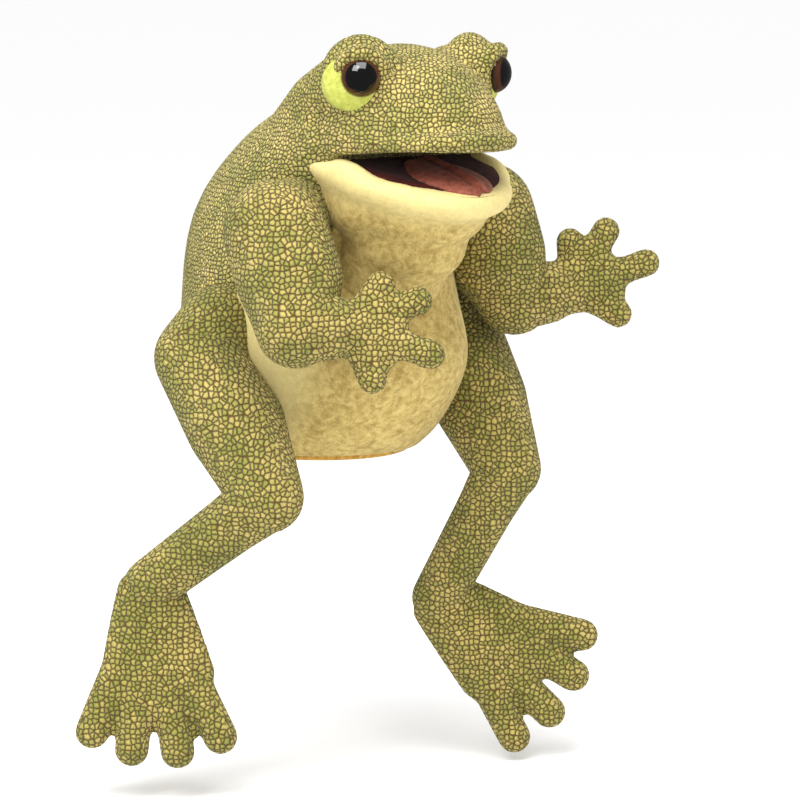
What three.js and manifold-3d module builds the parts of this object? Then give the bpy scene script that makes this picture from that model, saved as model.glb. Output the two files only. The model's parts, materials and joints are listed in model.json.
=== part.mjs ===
// A plush frog hand puppet: a cloth glove body, a head with a working mouth, and stuffed limbs.
// Millimetres, +Z up. The frog faces -Y and its left is +X. The origin is the middle of the hand
// opening under the body, where a puppeteer's hand goes in.
import * as THREE from "three";
import { mergeVertices } from "three/addons/utils/BufferGeometryUtils.js";
import Module from "manifold-3d";

const wasm = await Module();
wasm.setup();

// ---- Driving dimensions, millimetres and degrees ----
const GAP = 0.3; // between pieces that touch
const LAYER_GAP = 1.0; // between the cloth and stuffing layers of the body, which curve two ways
const CLOTH = 2.2; // scaled plush fabric, pile and backing
const LINING = 1.4; // thin lining cloth
const BOARD = 2.0; // stiffener in the mouth

const BODY_WIDTH = 132; // widest, across the belly
const BODY_DEPTH = 176; // front to back at the belly
const BODY_PADDING = 8; // stuffing between fabric and lining
const BELLY_SPAN = 172; // angle that the belly panel covers
const HEM_HEIGHT = 7;
const HEM_WIDTH = 104;
const HEM_DEPTH = 134;
const HEM_PROUD = 1.6; // how far the binding stands out of the fabric

const MOUTH_WIDTH = 100; // four fingers side by side
const MOUTH_LENGTH = 75;
const MOUTH_TILT = 3; // the upper jaw tips up at the front
const MOUTH_OPEN = 14; // lower jaw at rest
const HEAD_HEIGHT = 54; // above the mouth line
const CHIN_DEPTH = 27; // below the mouth line
const LIP_RADIUS = 4.2;
const PALATE_MARGIN = 5; // mouth lining inside the lip
const HINGE_GAP = 2.4;
const HEAD_BACK = 58; // from the mouth hinge to the rear of the head
const FILL_BACK = 26; // the head's stuffing ends this far behind the hinge
const NECK_RADIUS = 44; // the head's rounded rear, about the neck axis
const NECK_REACH = 26; // the head's cloth goes on this far below the neck joint
const NECK_NOD = 17; // free angle kept between head and body
const THROAT_HEIGHT = 100; // the belly panel keeps clear of the chin above this
const JAW_DROP = 24; // free angle kept behind the jaw
const JAW_SHORT = 2; // the lower jaw ends this far behind the upper
const FINGER_POCKET = { width: MOUTH_WIDTH - 32, height: 22, reach: 50 };
const THUMB_POCKET = { width: 28, height: 12, reach: 40 };
const TONGUE = { width: 40, length: 38, start: 26, height: 2.4 };

const EYE_DIAMETER = 20;
const EYE_DEPTH = 9.6; // how far the eye's dome stands out
const EYE_SHANK = { diameter: 5, length: 11 };
const WASHER = { diameter: 16, thickness: 1.6 };
const BROW_RADIUS = 21; // the raised mound behind each eye
const EYE_TURN = 36; // eyes look outward by this angle
const PATCH_THICKNESS = 1.0;
const PATCH_RADIUS = 16.5;
const PATCH_SHIFT = { out: 6.5, down: 2.5 }; // of the patch from the middle of the eye

const JOINT_CLEARANCE = 1.0;
const ARM = { shoulder: 24, upper: 22, elbow: 17, wrist: 11 }; // radii
const LEG = { hip: 19.5, thigh: 21.5, knee: 17, shin: 14, ankle: 11.5 }; // radii
const FINGER_RADIUS = 7.2;
const TOE_RADIUS = 8.2;
// A palm or sole: a fan from the wrist or ankle; half of its thickness; where digits start
const PALM = { length: 27, width: 34, halfThickness: 8.5, root: 0.45 };
const SOLE = { length: 62, width: 66, halfThickness: 8, root: 0.55 };
const DOOR_SHARE = 0.45; // of a joint's ball, left open for stuffing to pass
const END_BLUNTNESS = 0.7; // of a limb segment's far end
const LIMB_SIDES = 10;
const INNER_SIDES = 8;

const HINGE = new THREE.Vector3(0, -92, 157); // the mouth's fold
const NECK = new THREE.Vector3(0, -62, 150);
const EYE = new THREE.Vector3(40, -115, 196);
// The middles of the limb joints in the pose that the frog is stored in: [out, y, z], where out is
// measured from the widest part of the body's own side
const LIMBS = {
  right: {
    shoulder: [1, -80, 120],
    elbow: [10, -111, 76],
    wrist: [-15, -122, 76],
    palm: [-31.6, -135.2, 69.5],
    hip: [22, -33, 54],
    knee: [18.6, -99, -7.5],
    ankle: [53.5, -45.2, -55.8],
    toes: [55, -58.3, -137.9],
  },
  left: {
    shoulder: [10, -62, 122],
    elbow: [22, -72, 77],
    wrist: [49, -87, 81.5],
    palm: [62.5, -95.6, 87.7],
    hip: [22, -33, 54],
    knee: [-0.5, -95.7, -7.9],
    ankle: [-22, -64.3, -78.3],
    toes: [26.6, -109.3, -134.1],
  },
};
// The broad side of hands and feet faces the way the frog's right eye looks
const SHOW_SIDE = new THREE.Vector3(-0.582, -0.801, 0.139);
// Finger and toe tips: along the hand or foot, and across it
const FINGER_TIPS = [[9, 30], [33, 25], [48, -2], [21, -27]];
const TOE_TIPS = [[78, -38], [89, -17], [92, 8], [86, 32]];

// ---- Colours ----
const FINISH = {
  scales: { color: 0xa9a548, roughness: 0.75 },
  belly: { color: 0xe3d08a, roughness: 0.9 },
  hem: { color: 0xc89a3c, roughness: 0.9 },
  patch: { color: 0xc9d24a, roughness: 0.9 },
  mouth: { color: 0x5a2018, roughness: 0.7 },
  tongue: { color: 0xa8452f, roughness: 0.6 },
  eye: { color: 0x1c0f08, roughness: 0.08 },
  hard: { color: 0x2b2b2b, roughness: 0.5 },
  board: { color: 0xb49a72, roughness: 0.85 },
  lining: { color: 0x6f6a3a, roughness: 0.95 },
  stuffing: { color: 0xf2f0ea, roughness: 1.0 },
};

// ---- Solids ----
const rad = THREE.MathUtils.degToRad;

function solid(geometry) {
  const bare = geometry.clone();
  bare.deleteAttribute("normal");
  bare.deleteAttribute("uv");
  const merged = mergeVertices(bare, 1e-3);
  const made = new wasm.Manifold(new wasm.Mesh({
    numProp: 3,
    vertProperties: new Float32Array(merged.attributes.position.array),
    triVerts: new Uint32Array(merged.index.array),
  }));
  if (made.volume() >= 0) return made;
  const flipped = new Uint32Array(merged.index.array);
  for (let i = 0; i < flipped.length; i += 3) {
    [flipped[i + 1], flipped[i + 2]] = [flipped[i + 2], flipped[i + 1]];
  }
  return new wasm.Manifold(new wasm.Mesh({
    numProp: 3,
    vertProperties: new Float32Array(merged.attributes.position.array),
    triVerts: flipped,
  }));
}

function geometryOf(body) {
  const mesh = body.getMesh();
  const positions = new Float32Array(mesh.numVert * 3);
  for (let i = 0; i < mesh.numVert; i += 1) {
    positions.set(mesh.vertProperties.subarray(i * mesh.numProp, i * mesh.numProp + 3), i * 3);
  }
  const geometry = new THREE.BufferGeometry();
  geometry.setAttribute("position", new THREE.BufferAttribute(positions, 3));
  geometry.setIndex(new THREE.BufferAttribute(new Uint32Array(mesh.triVerts), 1));
  geometry.computeVertexNormals();
  return geometry;
}

// Moves every vertex of a geometry with a function of a Vector3
function bend(geometry, move) {
  const moved = geometry.clone();
  const at = moved.attributes.position;
  const point = new THREE.Vector3();
  for (let i = 0; i < at.count; i += 1) {
    point.fromBufferAttribute(at, i);
    move(point);
    at.setXYZ(i, point.x, point.y, point.z);
  }
  return moved;
}

const local = (x, y, z) => new THREE.Vector3(x, y, z);

// A round tube along a path
function tubeAlong(path, radius) {
  const ring = new THREE.Shape().absarc(0, 0, radius, 0, 2 * Math.PI, false);
  return new THREE.ExtrudeGeometry(ring, {
    extrudePath: path, steps: 16, curveSegments: 3, bevelEnabled: false,
  });
}

// A lathe about +Z from [radius, height] points
function lathe(points, sides = LIMB_SIDES) {
  const outline = points.map(([radius, height]) => new THREE.Vector2(radius, height));
  return new THREE.LatheGeometry(outline, sides).rotateX(Math.PI / 2);
}

// A frame with its origin at a point, +Z along a direction and +Y as near as can be to a side
function frameAt(origin, direction, side) {
  const z = direction.clone().normalize();
  const x = new THREE.Vector3().crossVectors(side, z).normalize();
  const y = new THREE.Vector3().crossVectors(z, x);
  return new THREE.Matrix4().makeBasis(x, y, z).setPosition(origin);
}

// A big block filling the side of a plane that its normal points to
function halfSpace(point, normal) {
  const size = 800;
  const block = new THREE.BoxGeometry(size, size, size).translate(0, 0, size / 2);
  const side = Math.abs(normal.x) < 0.9 ? new THREE.Vector3(1, 0, 0) : new THREE.Vector3(0, 1, 0);
  return solid(block.applyMatrix4(frameAt(point, normal, side)));
}

// A cylinder along X through a point
function roller(point, radius, sides = 28) {
  const drum = new THREE.CylinderGeometry(radius, radius, 400, sides).rotateZ(Math.PI / 2);
  return solid(drum.translate(point.x, point.y, point.z));
}

const root = new THREE.Group();

// The biggest body of a cut, without slivers
function largest(body) {
  return body.decompose().sort((a, b) => b.volume() - a.volume())[0];
}

function keep(name, body, finish) {
  const material = new THREE.MeshStandardMaterial({ ...FINISH[finish], metalness: 0 });
  const mesh = new THREE.Mesh(geometryOf(largest(body)), material);
  mesh.name = name;
  root.add(mesh);
}

// ---- Body ----
// The body is a tube around a bent line that runs from the hem up to the neck. A station says
// where the line is, how wide and deep the tube is there, and how far it leans forward.
const LEAN = 50; // at the neck
const NECK_WIDTH = 104;
const NECK_DEPTH = 94;
const STATIONS = [
  { y: 0, z: 0, width: HEM_WIDTH, depth: HEM_DEPTH, lean: 0 },
  { y: -10, z: 22, width: BODY_WIDTH - 10, depth: BODY_DEPTH - 16, lean: 4 },
  { y: -22, z: 60, width: BODY_WIDTH, depth: BODY_DEPTH, lean: 10 },
  { y: -24, z: 98, width: BODY_WIDTH - 2, depth: BODY_DEPTH - 16, lean: 24 },
  { y: -40, z: 130, width: NECK_WIDTH + 12, depth: NECK_DEPTH + 26, lean: 40 },
  { y: NECK.y, z: NECK.z, width: NECK_WIDTH, depth: NECK_DEPTH, lean: LEAN },
  { y: NECK.y - 22, z: NECK.z + 18, width: NECK_WIDTH - 6, depth: NECK_DEPTH - 6, lean: LEAN },
];
const spine = new THREE.CatmullRomCurve3(STATIONS.map((s) => new THREE.Vector3(s.lean, s.y, s.z)));
const girth = new THREE.CatmullRomCurve3(
  STATIONS.map((s) => new THREE.Vector3(s.width, s.depth, 0)),
);
const TUBE_RADIUS = 100; // of the straight tube before it is bent into place

function intoBody(point) {
  const t = THREE.MathUtils.clamp(point.z, 0, 1);
  const centre = spine.getPoint(t);
  const size = girth.getPoint(t);
  const lean = rad(centre.x);
  const inset = TUBE_RADIUS - Math.hypot(point.x, point.y);
  const angle = Math.atan2(point.y, point.x);
  const across = (size.x / 2 - inset) * Math.cos(angle);
  const deep = (size.y / 2 - inset) * Math.sin(angle);
  point.set(across, centre.y + deep * Math.cos(lean), centre.z + deep * Math.sin(lean));
}

// One layer of the body between two insets from the outside, from one height share to another
function bodyLayer(outer, inner, from, to, steps = 8, sides = 22) {
  const up = [];
  const down = [];
  for (let i = 0; i <= steps; i += 1) {
    const t = from + ((to - from) * i) / steps;
    up.push([TUBE_RADIUS - outer, t]);
    down.unshift([TUBE_RADIUS - inner, t]);
  }
  return lathe([...up, ...down, up[0]], sides);
}

// The part of a body layer within an angle of the front or the back
function bodySector(outer, inner, from, to, centreAngle, span, steps = 8) {
  const start = rad(centreAngle - span / 2);
  const end = rad(centreAngle + span / 2);
  const shape = new THREE.Shape();
  shape.absarc(0, 0, TUBE_RADIUS - outer, start, end, false);
  shape.absarc(0, 0, TUBE_RADIUS - inner, end, start, true);
  shape.closePath();
  const straight = new THREE.ExtrudeGeometry(shape, {
    depth: to - from, steps, bevelEnabled: false, curveSegments: 11,
  });
  return solid(bend(straight.translate(0, 0, from), intoBody));
}

const alongX = local(1, 0, 0);
const neckAxis = local(0, -Math.sin(rad(LEAN)), Math.cos(rad(LEAN)));
const bodyFront = neckAxis.clone().applyAxisAngle(alongX, rad(NECK_NOD));
const throatSide = neckAxis.clone().applyAxisAngle(alongX, rad(-NECK_NOD));
const neckRoom = halfSpace(NECK, bodyFront)
  .add(halfSpace(NECK, throatSide))
  .add(roller(NECK, NECK_RADIUS + JOINT_CLEARANCE + GAP))
  .intersect(halfSpace(local(0, 0, THROAT_HEIGHT), local(0, 0, 1)));
const BACK_SPAN = 360 - BELLY_SPAN;
const SEAM_ANGLE = 0.5; // left open at the side seams
const TUBE_LENGTH = 190; // along the bent line, near enough
const HEM_SHARE = HEM_HEIGHT / TUBE_LENGTH;
const FRONT = 270; // angles around the tube
const BACK = 90;

function bodyPiece(name, outer, inner, from, middle, span, finish) {
  const layer = bodySector(outer, inner, from, 1, middle, span - SEAM_ANGLE);
  keep(name, layer.subtract(neckRoom), finish);
}

const skinFrom = HEM_SHARE + (2 * GAP) / TUBE_LENGTH;
const paddingOut = CLOTH + LAYER_GAP;
const paddingIn = paddingOut + BODY_PADDING;
const liningOut = paddingIn + LAYER_GAP;
const liningIn = liningOut + LINING;
bodyPiece("back_skin", 0, CLOTH, skinFrom, BACK, BACK_SPAN, "scales");
bodyPiece("belly_panel", 0, CLOTH, skinFrom, FRONT, BELLY_SPAN, "belly");
bodyPiece("back_padding", paddingOut, paddingIn, skinFrom, BACK, BACK_SPAN, "stuffing");
bodyPiece("belly_padding", paddingOut, paddingIn, skinFrom, FRONT, BELLY_SPAN, "stuffing");
const liningTube = bodyLayer(liningOut, liningIn, skinFrom, 1, 8, 16);
keep("glove_lining", solid(bend(liningTube, intoBody)).subtract(neckRoom), "lining");
const hemRing = bodyLayer(-HEM_PROUD, liningIn - LINING, 0, HEM_SHARE, 1, 22);
keep("hem_binding", solid(bend(hemRing, intoBody)), "hem");

// ---- Head ----
// The head and the jaw are modelled around the mouth hinge with the mouth plane level, and then
// turned: the head by MOUTH_TILT, the jaw down by MOUTH_OPEN.
const headTurn = new THREE.Matrix4().makeRotationX(rad(-MOUTH_TILT)).setPosition(HINGE);
const jawTurn = new THREE.Matrix4().makeRotationX(rad(MOUTH_OPEN)).setPosition(HINGE);
const inHead = (geometry) => solid(geometry.clone().applyMatrix4(headTurn));
const inJaw = (geometry) => solid(geometry.clone().applyMatrix4(jawTurn));
const HEAD_HALF = MOUTH_WIDTH / 2 + 2;
const HEAD_FRONT = MOUTH_LENGTH + 2;
const REAR_TAPER = 5; // the head's half width at the hinge less that at its rear

function headForm(inset) {
  const ball = new THREE.SphereGeometry(1, 16, 10).rotateX(Math.PI / 2);
  return bend(ball, (p) => {
    const side = HEAD_HALF - inset - REAR_TAPER * Math.max(0, p.y);
    const lengthways = (p.y < 0 ? HEAD_FRONT : HEAD_BACK) - inset;
    const upright = (p.z > 0 ? HEAD_HEIGHT : NECK_RADIUS) - inset;
    p.set(p.x * side, p.y * lengthways, p.z * upright);
  });
}

function jawForm(inset) {
  const ball = new THREE.SphereGeometry(1, 18, 10).rotateX(Math.PI / 2);
  const half = MOUTH_WIDTH / 2 + 1;
  return ball.scale(half - inset, MOUTH_LENGTH - JAW_SHORT - inset, CHIN_DEPTH - inset);
}

// A half-round slab in the mouth plane: the mouth's plan, drawn in by a margin
function mouthSlab(margin, bottom, top, rear = -HINGE_GAP) {
  const shape = new THREE.Shape();
  const half = MOUTH_WIDTH / 2 - margin;
  shape.absellipse(0, 0, half, MOUTH_LENGTH - margin, Math.PI, 2 * Math.PI, false, 0);
  shape.closePath();
  const slab = new THREE.ExtrudeGeometry(shape, {
    depth: top - bottom, bevelEnabled: false, curveSegments: 14,
  });
  return geometryOf(solid(slab.translate(0, 0, bottom)).subtract(behind(rear)));
}

// A big block behind a distance along Y
const behind = (y) => halfSpace(local(0, y, 0), local(0, 1, 0));

// A flattened pocket with a round end, open to the rear
function pocketForm({ width, height, reach }, bottom, grow, rear) {
  const wide = width / 2 + grow;
  const tall = height / 2 + grow;
  const tip = reach + grow;
  const round = Math.min(wide, height);
  const outline = [[0, -tip]];
  for (let i = 1; i <= 4; i += 1) {
    const a = (i / 4) * (Math.PI / 2);
    outline.push([Math.sin(a), -tip + round * (1 - Math.cos(a))]);
  }
  outline.push([1, rear], [0, rear]);
  const form = lathe(outline, 12).rotateX(Math.PI / 2);
  return bend(form, (p) => p.set(p.x * wide, -p.y, bottom + height / 2 + p.z * tall));
}

// The mouth's edge as a path for a lip: how far in from the mouth's plan, and at what height
function lipPath(inset, height, start, share) {
  const points = Array.from({ length: 17 }, (_, i) => {
    const a = Math.PI * (1 + (i + start) / share);
    const half = MOUTH_WIDTH / 2 - inset;
    return local(half * Math.cos(a), (MOUTH_LENGTH - inset - 1) * Math.sin(a), height);
  });
  return new THREE.CatmullRomCurve3(points);
}

const headUp = local(0, 0, 1).transformDirection(headTurn);
const aboveHinge = (height) => halfSpace(HINGE.clone().addScaledVector(headUp, height), headUp);
const jawBack = rad(MOUTH_OPEN + JAW_DROP);
const behindJaw = halfSpace(
  HINGE.clone().add(local(0, HINGE_GAP + 2 * GAP, 0)),
  local(0, Math.cos(jawBack), Math.sin(jawBack)),
);
const belowNeck = halfSpace(
  NECK.clone().addScaledVector(neckAxis, -NECK_REACH),
  neckAxis.clone().negate(),
);
const headSpace = aboveHinge(GAP)
  .add(behindJaw)
  .intersect(roller(NECK, NECK_RADIUS).add(halfSpace(NECK, neckAxis)))
  .subtract(belowNeck);

const SIDES = [["right", -1], ["left", 1]];
const eyeAim = (sign) => local(sign * Math.sin(rad(EYE_TURN)), -Math.cos(rad(EYE_TURN)), 0);
const moundAt = (sign) => local(sign * EYE.x, EYE.y, EYE.z)
  .addScaledVector(eyeAim(sign), 2 - BROW_RADIUS);
const eyeFrame = (sign) => frameAt(moundAt(sign), eyeAim(sign), local(0, 0, 1));

function mound(sign, inset) {
  const centre = moundAt(sign);
  const ball = new THREE.SphereGeometry(BROW_RADIUS - inset, 12, 9);
  return solid(ball.translate(centre.x, centre.y, centre.z));
}

// A cylinder along an eye's axis, from one distance to another from the mound's centre
function eyeBore(sign, radius, from, to) {
  const bore = new THREE.CylinderGeometry(radius, radius, to - from, 14).rotateX(Math.PI / 2);
  return solid(bore.translate(0, 0, (from + to) / 2).applyMatrix4(eyeFrame(sign)));
}

const eyeSeat = BROW_RADIUS - CLOTH + 0.4; // where the eye's flat back sits
const washerTop = eyeSeat - CLOTH - 2.6;
let headOuter = inHead(headForm(0));
let headInner = inHead(headForm(CLOTH));
let headCore = inHead(headForm(CLOTH + GAP));
for (const [, sign] of SIDES) {
  headOuter = headOuter.add(mound(sign, 0));
  headInner = headInner.add(mound(sign, CLOTH));
  headCore = headCore.add(mound(sign, CLOTH + GAP));
}

// The upper lip is a rolled edge around the front of the upper jaw
const upperLip = lipPath(-1, LIP_RADIUS + GAP, 0.35, 16.7);
const palateTop = 2 * GAP + LINING + GAP + BOARD;
const mouthRoom = inHead(mouthSlab(PALATE_MARGIN - GAP, -LIP_RADIUS, palateTop, MOUTH_LENGTH));
let headSkin = headOuter.subtract(headInner).intersect(headSpace)
  .add(inHead(tubeAlong(upperLip, LIP_RADIUS)))
  .subtract(mouthRoom);
const fingerBottom = palateTop + GAP + LINING;
const fingerRoom = inHead(pocketForm(FINGER_POCKET, fingerBottom, LINING + GAP, HEAD_BACK));
let headFill = headCore.intersect(aboveHinge(palateTop + GAP)).intersect(headSpace)
  .subtract(fingerRoom)
  .subtract(inHead(tubeAlong(upperLip, LIP_RADIUS + GAP)))
  .subtract(behind(HINGE.y + FILL_BACK));
for (const [, sign] of SIDES) {
  const eyeRoom = eyeBore(sign, EYE_DIAMETER / 2 + GAP, eyeSeat - GAP, 2 * BROW_RADIUS);
  headSkin = headSkin
    .subtract(eyeRoom)
    .subtract(eyeBore(sign, EYE_SHANK.diameter / 2 + GAP, 2, BROW_RADIUS));
  const room = eyeSeat - EYE_SHANK.length - 2 * GAP;
  headFill = headFill
    .subtract(eyeRoom)
    .subtract(eyeBore(sign, WASHER.diameter / 2 + GAP, room, BROW_RADIUS));
}
keep("head_skin", headSkin, "scales");
keep("head_fill", headFill, "stuffing");

// A pocket's thin cloth, open at its rear
const pocket = (spec, bottom, rear) => solid(pocketForm(spec, bottom, LINING, rear))
  .subtract(solid(pocketForm(spec, bottom, 0, rear + 5)));
keep("finger_pocket", inHead(geometryOf(pocket(FINGER_POCKET, fingerBottom, 24))), "lining");
const boardFrom = 2 * GAP + LINING;
keep("palate_lining", inHead(mouthSlab(PALATE_MARGIN, GAP, GAP + LINING)), "mouth");
keep("palate_board", inHead(mouthSlab(PALATE_MARGIN + 2, boardFrom, boardFrom + BOARD)), "board");

for (const [side, sign] of SIDES) {
  const r = EYE_DIAMETER / 2;
  const shank = EYE_SHANK.diameter / 2;
  const dome = [[0, -EYE_SHANK.length], [shank, -EYE_SHANK.length], [shank, 0]];
  for (let i = 0; i < 4; i += 1) {
    const a = (i / 4) * (Math.PI / 2);
    dome.push([r * Math.cos(a), EYE_DEPTH * Math.sin(a)]);
  }
  dome.push([0, EYE_DEPTH]);
  const eye = lathe(dome, 14).translate(0, 0, eyeSeat).applyMatrix4(eyeFrame(sign));
  keep(`${side}_eye`, solid(eye), "eye");

  const bore = shank + GAP;
  const rim = WASHER.diameter / 2;
  const washer = lathe([
    [bore, 0], [rim, 0], [rim, WASHER.thickness], [bore, WASHER.thickness], [bore, 0],
  ], 12).translate(0, 0, washerTop - WASHER.thickness);
  keep(`${side}_eye_washer`, solid(washer.applyMatrix4(eyeFrame(sign))), "hard");

  const disc = new THREE.CylinderGeometry(PATCH_RADIUS, PATCH_RADIUS, 2 * BROW_RADIUS, 14);
  disc.rotateX(Math.PI / 2).translate(sign * PATCH_SHIFT.out, -PATCH_SHIFT.down, BROW_RADIUS);
  const patch = mound(sign, -(GAP + PATCH_THICKNESS)).subtract(mound(sign, -GAP))
    .intersect(solid(disc.applyMatrix4(eyeFrame(sign))))
    .subtract(inHead(headForm(-GAP)))
    .subtract(eyeBore(sign, r + GAP, 0, 3 * BROW_RADIUS));
  keep(`${side}_eye_patch`, patch, "patch");
}

// ---- Lower jaw ----
const belowJaw = (gap) => {
  const depth = 2 * MOUTH_LENGTH;
  const block = new THREE.BoxGeometry(2 * depth, depth, depth);
  return inJaw(block.translate(0, -depth / 2 - HINGE_GAP, -depth / 2 - gap));
};
const jawDepth = 2 * GAP + LINING + BOARD;
const jawCut = inJaw(mouthSlab(PALATE_MARGIN - GAP, -(jawDepth + GAP), LIP_RADIUS, MOUTH_LENGTH));
const lowerLip = lipPath(2, -LIP_RADIUS - GAP, 0.6, 17.2);
const jawSkin = inJaw(jawForm(0)).subtract(inJaw(jawForm(CLOTH))).intersect(belowJaw(GAP))
  .add(inJaw(tubeAlong(lowerLip, LIP_RADIUS)))
  .subtract(jawCut);
keep("jaw_skin", jawSkin, "belly");
const thumbBottom = -(jawDepth + GAP + LINING + THUMB_POCKET.height);
const thumbRoom = inJaw(pocketForm(THUMB_POCKET, thumbBottom, LINING + GAP, MOUTH_LENGTH));
const jawFill = inJaw(jawForm(CLOTH + GAP)).intersect(belowJaw(jawDepth + GAP))
  .subtract(thumbRoom)
  .subtract(inJaw(tubeAlong(lowerLip, LIP_RADIUS + GAP)));
keep("jaw_fill", jawFill, "stuffing");
const thumbPocket = geometryOf(pocket(THUMB_POCKET, thumbBottom, -HINGE_GAP));
keep("thumb_pocket", inJaw(thumbPocket), "lining");
const floorBottom = -(GAP + LINING);
keep("mouth_floor_lining", inJaw(mouthSlab(PALATE_MARGIN, floorBottom, -GAP)), "mouth");
const jawBoardTop = floorBottom - GAP;
const jawBoard = mouthSlab(PALATE_MARGIN + 2, jawBoardTop - BOARD, jawBoardTop);
keep("jaw_board", inJaw(jawBoard), "board");

const tongueRound = TONGUE.width / 2;
const tongueForm = new THREE.CapsuleGeometry(tongueRound, TONGUE.length - tongueRound, 4, 14)
  .scale(1, 1, TONGUE.height / tongueRound)
  .translate(0, -TONGUE.start - TONGUE.length / 2, 0);
const aboveFloor = new THREE.BoxGeometry(2 * MOUTH_WIDTH, 4 * MOUTH_LENGTH, MOUTH_WIDTH)
  .translate(0, 0, MOUTH_WIDTH / 2);
keep("tongue", inJaw(tongueForm).intersect(inJaw(aboveFloor)), "tongue");

// ---- Stuffed limbs ----
// The outline of a limb segment: a ball about its own joint, and a round end that stops short of
// the next segment's ball, so that a bent limb keeps clear of itself
function segmentOutline(length, radii, nextBall, inset) {
  const [start, middle, end] = radii.map((radius) => radius - inset);
  const tip = length - nextBall - JOINT_CLEARANCE - inset;
  const outline = [[0, -start]];
  for (let i = 1; i <= 3; i += 1) {
    const a = (Math.PI / 6) * i;
    outline.push([start * Math.sin(a), -start * Math.cos(a)]);
  }
  outline.push([middle, (tip - end) / 2]);
  for (let i = 0; i < 3; i += 1) {
    const a = (Math.PI / 6) * i;
    outline.push([end * Math.cos(a), tip - end * END_BLUNTNESS * (1 - Math.sin(a))]);
  }
  outline.push([0, tip]);
  return outline;
}

// The way through a joint for a limb's stuffing, in the limb's own frame
function doorway(radius, depth) {
  const hole = new THREE.CylinderGeometry(radius, radius, 2 * depth, 6).rotateX(Math.PI / 2);
  return solid(hole.translate(0, 0, -depth));
}

// A hollow cloth skin and its stuffing
function stuffed(name, shape, fillInset, door) {
  keep(`${name}_skin`, shape(0).subtract(shape(CLOTH)).subtract(door), "scales");
  keep(`${name}_fill`, shape(fillInset), "stuffing");
}

function place(side, point) {
  const [out, y, z] = LIMBS[side][point];
  const x = BODY_WIDTH / 2 + out;
  return local(side === "right" ? -x : x, y, z);
}

function segment(side, name, from, to, radii, nextBall) {
  const start = place(side, from);
  const run = place(side, to).sub(start);
  const frame = frameAt(start, run, alongX);
  const shape = (inset) => {
    const outline = segmentOutline(run.length(), radii, nextBall, inset);
    return solid(lathe(outline, inset > 0 ? INNER_SIDES : LIMB_SIDES).applyMatrix4(frame));
  };
  const door = doorway(radii[0] * DOOR_SHARE, radii[0]).transform(frame.elements);
  stuffed(`${side}_${name}`, shape, CLOTH + GAP, door);
}

// A rounded finger or toe between two points, each [along, across]
function digit(from, to, r) {
  const run = local(to[1] - from[1], 0, to[0] - from[0]);
  const tip = run.length() - r;
  const form = lathe([
    [0, -r], [r * 0.7, -r * 0.7], [r * 0.95, 0], [r * 0.9, tip / 2],
    [r * 1.04, tip - 1], [r * 0.8, tip + r * 0.65], [0, tip + r],
  ], 6);
  return form.applyMatrix4(frameAt(local(from[1], 0, from[0]), run, local(0, 1, 0)));
}

// A palm or a sole as a flat fan that widens from the wrist or ankle, with +Z along it
function fan(pad, stem, inset, sides) {
  const start = stem - inset;
  const wide = pad.width / 2 - inset;
  const form = lathe([
    [0, -start], [0.75 * start, -0.65 * start], [start, 0],
    [wide, pad.length * 0.75], [wide * 0.9, pad.length * 0.92 - inset], [0, pad.length - inset],
  ], sides);
  return bend(form, (p) => {
    const share = THREE.MathUtils.clamp(p.z / (pad.length * 0.75), 0, 1);
    p.y *= THREE.MathUtils.lerp(1, (pad.halfThickness - inset) / wide, share);
  });
}

function handOrFoot(side, name, from, to, pad, stem, tips, radius, mirror) {
  const start = place(side, from);
  const frame = frameAt(start, place(side, to).sub(start), SHOW_SIDE);
  const shape = (inset) => {
    let body = solid(fan(pad, stem, inset, inset > 0 ? INNER_SIDES : LIMB_SIDES));
    if (inset > 0) return body.transform(frame.elements);
    for (const [along, across] of tips) {
      const base = [along * pad.root, mirror * across * pad.root];
      body = body.add(solid(digit(base, [along, mirror * across], radius)));
    }
    return body.transform(frame.elements);
  };
  const door = doorway(stem * DOOR_SHARE, stem).transform(frame.elements);
  stuffed(`${side}_${name}`, shape, CLOTH + 2 * GAP, door);
}

for (const [side, sign] of SIDES) {
  const arm = [ARM.shoulder, ARM.upper, ARM.upper - 1];
  segment(side, "upper_arm", "shoulder", "elbow", arm, ARM.elbow);
  segment(side, "forearm", "elbow", "wrist", [ARM.elbow, ARM.elbow - 2, ARM.wrist + 2], ARM.wrist);
  segment(side, "thigh", "hip", "knee", [LEG.hip, LEG.thigh, LEG.knee + 1], LEG.knee);
  segment(side, "shin", "knee", "ankle", [LEG.knee, LEG.shin, LEG.ankle + 1], LEG.ankle);
  handOrFoot(side, "hand", "wrist", "palm", PALM, ARM.wrist, FINGER_TIPS, FINGER_RADIUS, 1);
  handOrFoot(side, "foot", "ankle", "toes", SOLE, LEG.ankle, TOE_TIPS, TOE_RADIUS, -sign);
}

export default root;
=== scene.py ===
"""A plush frog hand puppet: scaled plush body and limbs, cream velour belly and jaw, a working mouth."""
import json
import logging
import math
from dataclasses import dataclass, field
from enum import Enum
from typing import Any, Callable, Iterable, Sequence

import bmesh
import bpy
from mathutils import Matrix, Vector


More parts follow.
